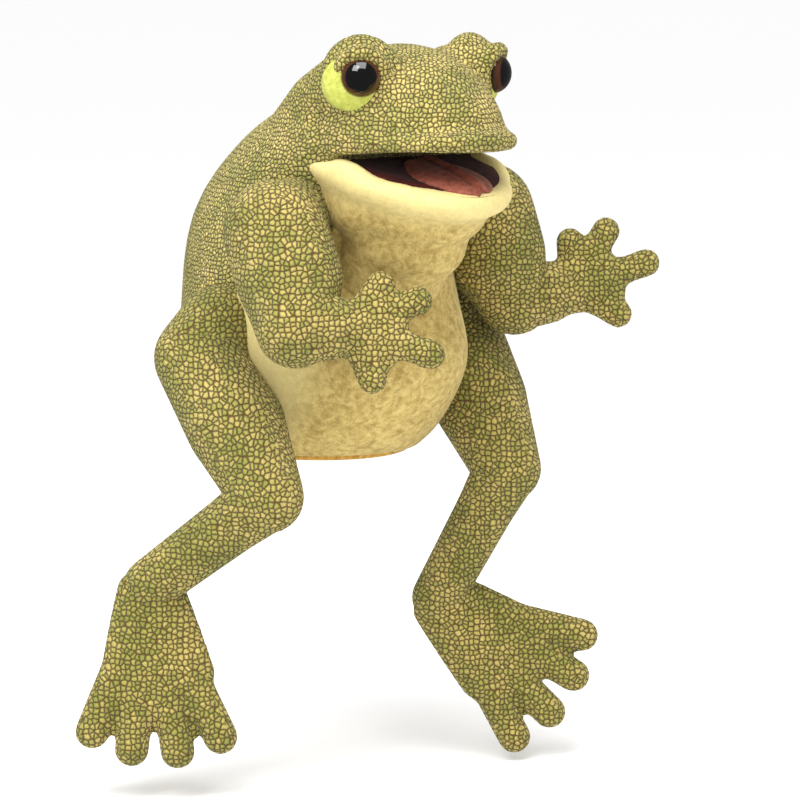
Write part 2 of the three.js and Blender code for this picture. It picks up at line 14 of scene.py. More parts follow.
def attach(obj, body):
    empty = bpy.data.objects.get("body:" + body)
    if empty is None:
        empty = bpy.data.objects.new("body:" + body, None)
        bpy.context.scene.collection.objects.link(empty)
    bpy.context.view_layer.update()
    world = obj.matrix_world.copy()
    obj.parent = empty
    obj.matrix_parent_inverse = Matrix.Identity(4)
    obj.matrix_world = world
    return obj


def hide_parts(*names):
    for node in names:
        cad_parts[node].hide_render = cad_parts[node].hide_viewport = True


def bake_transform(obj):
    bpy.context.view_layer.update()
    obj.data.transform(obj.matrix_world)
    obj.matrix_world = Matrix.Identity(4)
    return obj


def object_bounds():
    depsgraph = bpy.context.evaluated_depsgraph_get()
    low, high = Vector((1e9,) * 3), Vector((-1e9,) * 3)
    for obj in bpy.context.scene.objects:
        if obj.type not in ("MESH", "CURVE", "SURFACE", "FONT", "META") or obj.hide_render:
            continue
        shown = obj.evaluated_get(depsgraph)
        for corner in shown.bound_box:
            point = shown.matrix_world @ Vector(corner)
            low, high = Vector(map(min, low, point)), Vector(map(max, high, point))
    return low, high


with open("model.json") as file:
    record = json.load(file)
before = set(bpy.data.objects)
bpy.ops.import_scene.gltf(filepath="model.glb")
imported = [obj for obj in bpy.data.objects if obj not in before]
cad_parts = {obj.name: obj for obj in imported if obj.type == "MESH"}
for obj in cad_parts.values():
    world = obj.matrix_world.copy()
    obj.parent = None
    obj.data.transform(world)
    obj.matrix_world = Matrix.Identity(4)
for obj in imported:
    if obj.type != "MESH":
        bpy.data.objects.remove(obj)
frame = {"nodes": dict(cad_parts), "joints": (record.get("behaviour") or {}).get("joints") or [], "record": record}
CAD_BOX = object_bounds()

log = logging.getLogger("puppet")
MM = 0.001
Colour = tuple[float, float, float, float]


def srgb(code: str) -> Colour:
    """Turn a six-digit colour code into linear colour.

    Args:
        code: Red, green and blue as hexadecimal digits.

    Returns:
        Linear red, green, blue and an alpha of 1.
    """
    parts = [int(code[i:i + 2], 16) / 255 for i in (0, 2, 4)]
    linear = [p / 12.92 if p <= 0.04045 else ((p + 0.055) / 1.055) ** 2.4 for p in parts]
    return (linear[0], linear[1], linear[2], 1.0)


# ---------------------------------------------------------------- shader wiring


class Wire:
    """A shader socket that can be used in Python arithmetic."""

    def __init__(self, shader: "Wiring", socket: bpy.types.NodeSocket) -> None:
        """Hold a socket of a node tree."""
        self.shader = shader
        self.socket = socket

    def _math(self, operation: str, left: Any, right: Any) -> "Wire":
        """Add a Math node for two values or wires."""
        return self.shader.node("ShaderNodeMath", {"operation": operation}, {0: left, 1: right})

    def __add__(self, other: Any) -> "Wire":
        """Add."""
        return self._math("ADD", self, other)

    __radd__ = __add__

    def __mul__(self, other: Any) -> "Wire":
        """Multiply."""
        return self._math("MULTIPLY", self, other)

    __rmul__ = __mul__

    def __sub__(self, other: Any) -> "Wire":
        """Subtract."""
        return self._math("SUBTRACT", self, other)

    def __rsub__(self, other: Any) -> "Wire":
        """Subtract from a number."""
        return self._math("SUBTRACT", other, self)

    def step(self, low: float, high: float) -> "Wire":
        """Rise smoothly from 0 at low to 1 at high.

        Args:
            low: Value where the step starts.
            high: Value where the step is complete.

        Returns:
            A wire between 0 and 1.
        """
        settings = {"interpolation_type": "SMOOTHSTEP"}
        return self.shader.node(
            "ShaderNodeMapRange", settings,
            {"Value": self, "From Min": low, "From Max": high, "To Min": 0.0, "To Max": 1.0},
        )


class Wiring:
    """A node tree under construction."""

    def __init__(self, tree: bpy.types.NodeTree) -> None:
        """Hold a node tree."""
        self.tree = tree

    def plug(self, socket: bpy.types.NodeSocket, value: Any) -> None:
        """Link a wire into a socket, or set the socket's own value."""
        if isinstance(value, Wire):
            self.tree.links.new(value.socket, socket)
        else:
            socket.default_value = value

    def node(self, kind: str, settings: dict[str, Any] | None = None,
             inputs: dict[Any, Any] | None = None, output: Any = 0) -> Wire:
        """Add a node.

        Args:
            kind: Node type.
            settings: Properties set before the sockets; "stops" fills a colour ramp.
            inputs: Values or wires by socket name or number.
            output: Name or number of the output that is returned.

        Returns:
            The chosen output.
        """
        made = self.tree.nodes.new(kind)
        for key, value in (settings or {}).items():
            if key == "stops":
                ramp = made.color_ramp
                while len(ramp.elements) < len(value):
                    ramp.elements.new(1.0)
                for element, (place, colour) in zip(ramp.elements, value):
                    element.position = place
                    element.color = colour
            else:
                setattr(made, key, value)
        for key, value in (inputs or {}).items():
            self.plug(made.inputs[key], value)
        return Wire(self, made.outputs[output])


class Shader(Wiring):
    """A material under construction around one Principled BSDF."""

    def __init__(self, name: str, **constants: Any) -> None:
        """Start a material.

        Args:
            name: Material name.
            constants: Principled sockets by name, with underscores for spaces.
        """
        self.material = bpy.data.materials.new(name)
        self.material.use_nodes = True
        super().__init__(self.material.node_tree)
        self.bsdf = self.tree.nodes["Principled BSDF"]
        for key, value in constants.items():
            self.bsdf.inputs[key.replace("_", " ")].default_value = value

    def mix(self, factor: Any, first: Any, second: Any) -> Wire:
        """Mix two colours.

        Args:
            factor: 0 gives the first colour and 1 the second.
            first: Colour or wire.
            second: Colour or wire.

        Returns:
            The mixed colour.
        """
        return self.node("ShaderNodeMix", {"data_type": "RGBA"}, {0: factor, 6: first, 7: second}, 2)

    def place(self) -> Wire:
        """Give the rest position of the cloth, in metres, which follows the cloth as it bends."""
        return self.node("ShaderNodeAttribute", {"attribute_name": "rest"}, None, "Vector")

    def noise(self, place: Wire, size_mm: float, detail: float = 3.0, output: str = "Fac") -> Wire:
        """Add noise with features of about a size.

        Args:
            place: Position in metres.
            size_mm: Size of a feature.
            detail: Octaves.
            output: "Fac" or "Color".

        Returns:
            The noise.
        """
        return self.node("ShaderNodeTexNoise", None,
                         {"Vector": place, "Scale": 1000 / size_mm, "Detail": detail}, output)

    def warp(self, place: Wire, size_mm: float, amount_mm: float) -> Wire:
        """Shift a position by noise.

        Args:
            place: Position in metres.
            size_mm: Feature size of the noise.
            amount_mm: Largest shift.

        Returns:
            The shifted position.
        """
        wobble = self.noise(place, size_mm, 2.0, "Color")
        centred = self.node("ShaderNodeVectorMath", {"operation": "SUBTRACT"},
                            {0: wobble, 1: (0.5, 0.5, 0.5)})
        scaled = self.node("ShaderNodeVectorMath", {"operation": "SCALE"},
                           {0: centred, "Scale": 2 * amount_mm * MM})
        return self.node("ShaderNodeVectorMath", {"operation": "ADD"}, {0: place, 1: scaled})

    def colour(self, wire: Wire) -> None:
        """Drive the base colour."""
        self.plug(self.bsdf.inputs["Base Color"], wire)

    def relief(self, height: Wire, depth_mm: float) -> None:
        """Drive the normal with a bump.

        Args:
            height: Height between 0 and 1.
            depth_mm: Height of 1 in millimetres.
        """
        inputs = {"Height": height, "Distance": depth_mm * MM, "Strength": 1.0}
        bump = self.node("ShaderNodeBump", None, inputs, "Normal")
        self.plug(self.bsdf.inputs["Normal"], bump)


# ---------------------------------------------------------------- finishes


@dataclass(frozen=True)
class ScaledPlush:
    """Short olive plush with raised, rounded scales divided by brown cracks."""

    name: str
    cell_mm: float
    green: tuple[str, str] = ("8A893E", "C4C46C")
    tan: tuple[str, str] = ("978540", "D8C676")
    crack: str = "5A401A"
    relief_mm: float = 1.7

    def build(self) -> bpy.types.Material:
        """Build the material.

        Returns:
            The finished material.
        """
        s = Shader(self.name, Roughness=0.85, Specular_IOR_Level=0.2, Sheen_Weight=0.1,
                   Sheen_Roughness=0.5)
        weave = s.node("ShaderNodeUVMap", {"uv_map": "weave"})
        flat = {"voronoi_dimensions": "2D"}
        size = {"Vector": s.warp(weave, 3.0, 0.5), "Scale": 1000 / self.cell_mm, "Randomness": 0.8}
        edge = s.node("ShaderNodeTexVoronoi", {**flat, "feature": "DISTANCE_TO_EDGE"}, size, "Distance")
        middle = s.node("ShaderNodeTexVoronoi", {**flat, "feature": "F1"}, size, "Distance")
        cell = s.node("ShaderNodeTexVoronoi", {**flat, "feature": "F1"}, size, "Color")
        shade = s.node("ShaderNodeSeparateColor", None, {0: cell}, 0)
        nap = s.noise(s.place(), 0.45, 2.0)
        patches = s.noise(s.place(), 30.0, 2.0)
        fuzz = (nap - 0.5) * 0.22
        pebble = (edge + fuzz * 0.8).step(-0.04, 0.2) * (1.0 - (middle + fuzz).step(0.5, 0.95))
        # tone is random in part, and in part painted highlight: the edge term makes each scale paler toward its
        # middle, where a domed scale catches the light
        tone = (shade * 0.35 + edge * 0.6 + nap * 0.5 + patches * 0.9 - 0.72).step(-0.1, 0.85)
        warmth = (patches * 1.4 + shade * 0.5 - 0.45).step(0.15, 0.85)
        green = s.mix(tone, srgb(self.green[0]), srgb(self.green[1]))
        body = s.mix(warmth, green, s.mix(tone, srgb(self.tan[0]), srgb(self.tan[1])))
        s.colour(s.mix(pebble, srgb(self.crack), body))
        s.relief(pebble * (0.45 + edge * 0.9) + nap * 0.2, self.relief_mm)
        return s.material


@dataclass(frozen=True)
class Velour:
    """Soft short pile in one colour, with brushed strokes, and a painted highlight where it is marked "pale":
    paler on raised rims that catch the light.
    """

    name: str
    light: str
    dark: str
    stroke_mm: float = 7.0
    relief_mm: float = 0.5
    rough: float = 0.9
    # colour of the painted highlight on rims that catch the light; empty for none
    pale: str = ""

    def build(self) -> bpy.types.Material:
        """Build the material.

        Returns:
            The finished material.
        """
        s = Shader(self.name, Roughness=self.rough, Specular_IOR_Level=0.2, Sheen_Weight=0.08,
                   Sheen_Roughness=0.4)
        place = s.place()
        brushed = s.noise(s.warp(place, 9.0, 4.0), self.stroke_mm, 5.0)
        nap = s.noise(place, 0.7, 3.0)
        tone = brushed * 1.3 + nap * 0.7 - 0.6
        pile = s.mix(tone.step(-0.1, 0.9), srgb(self.dark), srgb(self.light))
        # painted highlight: the pile turns paler where the "pale" attribute marks a rim that catches the light
        if self.pale:
            rim = s.node("ShaderNodeAttribute", {"attribute_name": "pale"}, None, "Fac")
            pile = s.mix(rim * (0.6 + nap * 0.4), pile, srgb(self.pale))
        s.colour(pile)
        s.relief(nap * 0.8 + brushed * 0.3, self.relief_mm)
        return s.material


@dataclass(frozen=True)
class GlossEye:
    """A polished plastic eye: black pupil in a brown iris under clear plastic."""

    name: str = "eye_plastic"
    iris: tuple[str, str] = ("331809", "54301C")
    black: str = "050404"
    rim: str = "120A06"
    pupil_mm: float = 7.7
    rim_mm: float = 9.4

    def build(self) -> bpy.types.Material:
        """Build the material.

        Returns:
            The finished material.
        """
        s = Shader(self.name, Roughness=0.06, Specular_IOR_Level=0.5, Coat_Weight=0.6, Coat_Roughness=0.03)
        radius = s.node("ShaderNodeAttribute", {"attribute_name": "radius_mm"}, None, "Fac")
        flecks = s.noise(s.place(), 0.9, 3.0)
        iris = s.mix(flecks, srgb(self.iris[0]), srgb(self.iris[1]))
        ring = radius.step(self.pupil_mm - 0.4, self.pupil_mm + 0.3)
        rim = radius.step(self.rim_mm - 0.4, self.rim_mm + 0.4)
        s.colour(s.mix(rim, s.mix(ring, srgb(self.black), iris), srgb(self.rim)))
        return s.material


@dataclass(frozen=True)
class Plain:
    """A quiet finish with a fine grain, for the pieces inside."""

    name: str
    light: str
    dark: str
    grain_mm: float = 1.2
    rough: float = 0.8

    def build(self) -> bpy.types.Material:
        """Build the material.

        Returns:
            The finished material.
        """
        s = Shader(self.name, Roughness=self.rough)
        place = s.node("ShaderNodeTexCoord", None, None, "Object")
        grain = s.noise(place, self.grain_mm, 3.0)
        s.colour(s.mix(grain, srgb(self.dark), srgb(self.light)))
        s.relief(grain, 0.15)
        return s.material


class Finish(Enum):
    """The finishes of the puppet, each with the record's material slot."""

    BODY_SCALES = ("scaled_plush", ScaledPlush("scaled_plush_body", 2.2))
    # the limb copy has larger scales, and colours a little darker than the body's: the darker colours are painted
    # shade for the limbs' shaded sides
    LIMB_SCALES = ("scaled_plush", ScaledPlush(
        "scaled_plush_limbs", 2.6, ("808036", "B8B65E"), ("8E7C3A", "C8B668")))
    # the cream's third colour is a painted highlight for the lip and the belly's raised rims, where they catch the
    # light
    CREAM = ("cream_velour", Velour("cream_velour", "D8C27C", "987D3E", 3.6, 0.5, pale="EBDB98"))
    LIME = ("lime_velour", Velour("lime_velour", "CFD26E", "A5AC42", 3.0))
    HEM = ("hem_cloth", Velour("hem_cloth", "D9AE55", "9A6A24", 3.0))
    MOUTH = ("mouth_cloth", Velour("mouth_cloth", "4F1A12", "260907", 5.0))
    TONGUE = ("tongue_satin", Velour("tongue_satin", "AC6450", "6B3326", 4.0, 0.3, 0.55))
    LINING = ("lining", Plain("lining_cloth", "8A8450", "5F5A30"))
    STUFFING = ("stuffing", Plain("stuffing_fibre", "F5F3EE", "DAD7CF"))
    BOARD = ("board", Plain("mouth_board", "BFA67E", "94784F"))
    WASHER = ("washer_plastic", Plain("washer_plastic", "333333", "1E1E1E", 2.0, 0.5))
    EYE = ("eye_plastic", GlossEye())

    @property
    def slot(self) -> str:
        """Give the material slot's name."""
        return self.value[0]

    def material(self) -> bpy.types.Material:
        """Give the material, building it the first time."""
        recipe = self.value[1]
        name = f"finish_{recipe.name}"
        made = bpy.data.materials.get(name)
        if made is None:
            made = recipe.build()
            made.name = name
        return made


# ---------------------------------------------------------------- modelling helpers (millimetres)


def vec(*parts: float) -> Vector:
    """Make a vector."""
    return Vector(parts)


def ball(bm: bmesh.types.BMesh, centre: Vector, radii: Sequence[float] | float,
         turn: Matrix | None = None) -> None:
    """Add an ellipsoid.

    Args:
        bm: Mesh under construction.
        centre: Middle.
        radii: One radius, or three.
        turn: Rotation about the middle.
    """
    sizes = (radii,) * 3 if isinstance(radii, (int, float)) else radii
    matrix = Matrix.Translation(centre) @ (turn or Matrix.Identity(4)) @ Matrix.Diagonal((*sizes, 1))
    bmesh.ops.create_uvsphere(bm, u_segments=28, v_segments=18, radius=1.0, matrix=matrix)


def axis_frame(start: Vector, direction: Vector, side: Vector) -> Matrix:
    """Make a frame with +Z along a direction and +Y near a side.

    Args:
        start: Origin.
        direction: Direction of +Z.
        side: Direction that +Y keeps near.

    Returns:
        The frame's matrix.
    """
    z = direction.normalized()
    x = side.cross(z).normalized()
    y = z.cross(x)
    return Matrix.Translation(start) @ Matrix((x, y, z)).transposed().to_4x4()


def bone(bm: bmesh.types.BMesh, start: Vector, end: Vector, first: float, last: float) -> None:
    """Add a round-ended tapered rod.

    Args:
        bm: Mesh under construction.
        start: Middle of the first end.
        end: Middle of the last end.
        first: Radius at the start.
        last: Radius at the end.
    """
    ball(bm, start, first)
    ball(bm, end, last)
    run = end - start
    if run.length < 0.5:
        return
    side = Vector((0, 0, 1)) if abs(run.normalized().z) < 0.9 else Vector((0, 1, 0))
    matrix = axis_frame((start + end) / 2, run, side)
    bmesh.ops.create_cone(bm, cap_ends=True, segments=28, radius1=first, radius2=last,
                          depth=run.length, matrix=matrix)


def chain(bm: bmesh.types.BMesh, points: Sequence[Vector], radii: Sequence[float]) -> None:
    """Add a run of bones through points."""
    for a, b, ra, rb in zip(points, points[1:], radii, radii[1:]):
        bone(bm, a, b, ra, rb)


def loft(bm: bmesh.types.BMesh, rings: Sequence[Matrix], sides: int = 40, closed: bool = False) -> None:
    """Bridge a row of circles into one closed tube.

    Args:
        bm: Mesh under construction.
        rings: A matrix for each circle of radius 1 in its own XY plane.
        sides: Points on each circle.
        closed: Join the last ring to the first in place of end caps.
    """
    loops = []
    for matrix in rings:
        made = bmesh.ops.create_circle(bm, cap_ends=False, segments=sides, radius=1.0, matrix=matrix)
        loops.append(list({e for v in made["verts"] for e in v.link_edges}))
    pairs = list(zip(loops, loops[1:])) + ([(loops[-1], loops[0])] if closed else [])
    for a, b in pairs:
        bmesh.ops.bridge_loops(bm, edges=a + b)
    if not closed:
        for end in (loops[0], loops[-1]):
            bmesh.ops.holes_fill(bm, edges=end)


def smooth_curve(points: Sequence[Vector], steps: int) -> list[Vector]:
    """Run a smooth curve through points of any dimension.

    Args:
        points: Points on the curve.
        steps: Steps between each two points.

    Returns:
        Points along the curve.
    """
    made = []
    last = len(points) - 1
    for i in range(last):
        p0, p1, p2, p3 = (points[max(0, i - 1)], points[i], points[i + 1], points[min(last, i + 2)])
        for k in range(steps):
            t = k / steps
            made.append(0.5 * ((2 * p1) + (p2 - p0) * t + (2 * p0 - 5 * p1 + 4 * p2 - p3) * t ** 2
                               + (3 * p1 - p0 - 3 * p2 + p3) * t ** 3))
    return made + [points[-1].copy()]


def roll(bm: bmesh.types.BMesh, path: Sequence[Vector], radii: Sequence[float]) -> None:
    """Add a tube with round ends along a path.

    Args:
        bm: Mesh under construction.
        path: Points on its centre line.
        radii: Radius at each point.
    """
    rings = []
    for i, point in enumerate(path):
        ahead = path[min(i + 1, len(path) - 1)] - path[max(i - 1, 0)]
        side = Vector((0, 0, 1)) if abs(ahead.normalized().z) < 0.9 else Vector((0, 1, 0))
        rings.append(axis_frame(point, ahead, side) @ Matrix.Diagonal((radii[i], radii[i], 1, 1)))
    loft(bm, rings, 16)
    ball(bm, path[0], radii[0])
    ball(bm, path[-1], radii[-1])


def cut(bm: bmesh.types.BMesh, point: Vector, normal: Vector, fill: bool = True) -> None:
    """Remove what lies on the side of a plane that its normal points to.

    Args:
        bm: Mesh under construction.
        point: Point on the plane.
        normal: Direction of the side that goes.
        fill: Close the cut.
    """
    everything = bm.verts[:] + bm.edges[:] + bm.faces[:]
    made = bmesh.ops.bisect_plane(bm, geom=everything, plane_co=point, plane_no=normal,
                                  clear_outer=True, dist=1e-4)
    if fill:
        edges = [g for g in made["geom_cut"] if isinstance(g, bmesh.types.BMEdge)]
        bmesh.ops.holes_fill(bm, edges=edges)


def make_object(bm: bmesh.types.BMesh, name: str) -> bpy.types.Object:
    """Turn a mesh in millimetres into an object in metres at the origin.

    Args:
        bm: Mesh in millimetres, which is freed.
        name: Object name.

    Returns:
        The new object.
    """
    bmesh.ops.scale(bm, vec=(MM, MM, MM), verts=bm.verts)
    mesh = bpy.data.meshes.new(name)
    bm.to_mesh(mesh)
    bm.free()
    made = bpy.data.objects.new(name, mesh)
    bpy.context.scene.collection.objects.link(made)
    return made


def modifier(piece: bpy.types.Object, kind: str, **settings: Any) -> bpy.types.Modifier:
    """Add a modifier.

    Args:
        piece: Object.
        kind: Modifier type.
        settings: Its properties.

    Returns:
        The modifier.
    """
    made = piece.modifiers.new(kind.lower(), kind)
    for key, value in settings.items():
        setattr(made, key, value)
    return made


def bake_modifiers(piece: bpy.types.Object) -> None:
    """Apply every modifier to the piece's own mesh."""
    graph = bpy.context.evaluated_depsgraph_get()
    mesh = bpy.data.meshes.new_from_object(piece.evaluated_get(graph))
    old = piece.data
    piece.modifiers.clear()
    piece.data = mesh
    bpy.data.meshes.remove(old)


def unify(piece: bpy.types.Object, voxel_mm: float, smoothing: int) -> None:
    """Merge overlapping closed forms into one soft skin.

    Args:
        piece: Object whose mesh holds the forms.
        voxel_mm: Remesh size.
        smoothing: Smoothing passes.
    """
    modifier(piece, "REMESH", mode="VOXEL", voxel_size=voxel_mm * MM, adaptivity=0.0)
    if smoothing:
        modifier(piece, "SMOOTH", factor=0.5, iterations=smoothing)
    bake_modifiers(piece)


def stuff(piece: bpy.types.Object, cap_mm: float, pinned: Callable[[Vector], float],
          pressure: float = 4.0) -> None:
    """Swell a closed skin with the cloth solver, as its stuffing does.

    Args:
        piece: Closed cloth skin.
        cap_mm: Furthest that a point may move.
        pinned: Gives 0 to 1 for how firmly a point in millimetres is sewn in place.
        pressure: Inner pressure.
    """
    before = [v.co.copy() for v in piece.data.vertices]
    pins = piece.vertex_groups.new(name="sewn")
    for i, co in enumerate(before):
        pins.add([i], pinned(co / MM), "REPLACE")
    cloth = modifier(piece, "CLOTH")
    cloth.settings.use_pressure = True
    cloth.settings.uniform_pressure_force = pressure
    cloth.settings.effector_weights.gravity = 0.0
    cloth.settings.vertex_group_mass = "sewn"
    cloth.settings.quality = 5
    cloth.collision_settings.use_self_collision = False
    cloth.point_cache.frame_start = 1
    cloth.point_cache.frame_end = 20
    for step in range(1, 21):
        bpy.context.scene.frame_set(step)
    bake_modifiers(piece)
    bpy.context.scene.frame_set(1)
    piece.vertex_groups.clear()
    for vertex, start in zip(piece.data.vertices, before):
        move = vertex.co - start
        if move.length > cap_mm * MM:
            vertex.co = start + move.normalized() * cap_mm * MM


WEAVE_AXES = (Vector((0.809, -0.588, 0)), Vector((-0.588, -0.809, 0)), Vector((0, 0, 1)))
WEAVE_SHIFT = (0.37, 0.21)  # keeps the patterns of the three directions apart, in metres


def lay_weave(mesh: bpy.types.Mesh) -> None:
    """Lay flat cloth coordinates on a mesh, each face along the nearest of three axes.

    Args:
        mesh: Mesh in its rest shape.
    """
    weave = mesh.uv_layers.get("weave") or mesh.uv_layers.new(name="weave")
    for polygon in mesh.polygons:
        lean = [abs(polygon.normal.dot(axis)) for axis in WEAVE_AXES]
        away = lean.index(max(lean))
        u, v = WEAVE_AXES[away - 1], WEAVE_AXES[away - 2]
        for loop in polygon.loop_indices:
            co = mesh.vertices[mesh.loops[loop].vertex_index].co
            weave.data[loop].uv = (co.dot(u) + WEAVE_SHIFT[0] * away, co.dot(v) + WEAVE_SHIFT[1] * away)


def smoother(value: float, low: float, high: float) -> float:
    """Rise smoothly from 0 at low to 1 at high, or fall where low is the larger.

    Args:
        value: Value.
        low: Where the rise starts.
        high: Where it ends.

    Returns:
        A number between 0 and 1.
    """
    t = max(0.0, min(1.0, (value - low) / (high - low)))
    return t * t * (3 - 2 * t)


def mark_pale(piece: bpy.types.Object, share: Callable[[Vector], float]) -> None:
    """Mark where a painted highlight makes the pile paler, on rims that catch the light.

    Args:
        piece: Finished mesh object.
        share: Gives 0 to 1 for a point in millimetres.
    """
    layer = piece.data.attributes.new("pale", "FLOAT", "POINT")
    layer.data.foreach_set("value", [share(v.co / MM) for v in piece.data.vertices])


def dress(piece: bpy.types.Object, finish: Finish) -> None:
    """Give a piece its finish and the attribute that its pattern follows.

    Args:
        piece: Finished mesh object.
        finish: Finish.
    """
    mesh = piece.data
    mesh.materials.clear()
    mesh.materials.append(finish.material())
    rest = mesh.attributes.get("rest") or mesh.attributes.new("rest", "FLOAT_VECTOR", "POINT")
    flat = [c for v in mesh.vertices for c in v.co]
    rest.data.foreach_set("vector", flat)
    lay_weave(mesh)
    mesh.polygons.foreach_set("use_smooth", [True] * len(mesh.polygons))
    log.info("%s: %d faces, %s", piece.name, len(mesh.polygons), finish.value[1].name)


# ---------------------------------------------------------------- places taken from the frame


def joint_at(name: str) -> Vector:
    """Give a joint's place in millimetres."""
    for joint in frame["joints"]:
        if joint["name"] == name:
            return Vector(joint["pos_m"]) / MM
    raise KeyError(name)


HINGE = joint_at("jaw_open")
NECK = joint_at("neck_nod")
SHOW_SIDE = vec(-0.582, -0.801, 0.139)  # the way that palms and soles lie flat
EYE_TURN = math.radians(36)
EYE_PLACE = (40.0, -115.0, 196.0)
MOUND_BACK = 12.0
MOUTH_WIDTH = 100.0
MOUTH_LENGTH = 75.0
PALATE_TILT = math.radians(-3)


def blend_neck(piece: bpy.types.Object) -> None:
    """Bake a piece's placement into its mesh."""
    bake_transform(piece)


def palate_frame() -> Matrix:
    """Give the upper jaw's frame at the mouth hinge."""
    return Matrix.Translation(HINGE) @ Matrix.Rotation(PALATE_TILT, 4, "X")


class Side(Enum):
    """The frog's two sides, with the sign of X."""

    RIGHT = -1
    LEFT = 1

    @property
    def word(self) -> str:
        """Give the side's name."""
        return self.name.lower()


# ---------------------------------------------------------------- body


@dataclass
class BodyForm:
    """The bent tube that the glove body follows, from the hem to the neck."""

    hem: tuple[float, float] = (104.0, 134.0)
    belly: tuple[float, float] = (132.0, 176.0)

    def stations(self) -> list[Vector]:
        """Give the stations as (centre y, centre z, half width, half depth, lean).

        Returns:
            One station for each change of the outline, from the hem up.
        """
        w, d = self.belly
        rows = [
            (0, 0, self.hem[0], self.hem[1], 0),
            (-10, 22, w - 10, d - 16, 4),
            (-22, 60, w, d, 10),
            (-24, 98, w - 2, d - 16, 24),
            (-40, 130, w - 16, d - 56, 40),
            (NECK.y, NECK.z, w - 28, d - 82, 50),
            (NECK.y - 22, NECK.z + 18, w - 34, d - 88, 50),
        ]
        return [Vector((y, z, a / 2, b / 2, math.radians(lean))) for y, z, a, b, lean in rows]

    def along(self, steps: int = 8) -> list[Vector]:
        """Give smooth stations along the tube."""
        return smooth_curve(self.stations(), steps)

    @staticmethod
    def ring(station: Vector, grow: float = 0.0) -> Matrix:
        """Give the matrix of a station's ring."""
        y, z, half_width, half_depth, lean = station
        place = Matrix.Translation((0, y, z)) @ Matrix.Rotation(lean, 4, "X")
        return place @ Matrix.Diagonal((half_width + grow, half_depth + grow, 1, 1))

    def point(self, share: float, angle: float, grow: float = 0.0) -> Vector:
        """Give a point of the tube's surface.

        Args:
            share: 0 at the hem and 1 at the neck end.
            angle: Angle around, 0 at the front, positive to the frog's left.
            grow: Distance outside the surface.

        Returns:
            The point in millimetres.
        """
        rows = self.along()
        place = max(0.0, min(1.0, share)) * (len(rows) - 1)
        i = min(int(place), len(rows) - 2)
        station = rows[i].lerp(rows[i + 1], place - i)
        return self.ring(station, grow) @ vec(math.sin(angle), -math.cos(angle), 0)


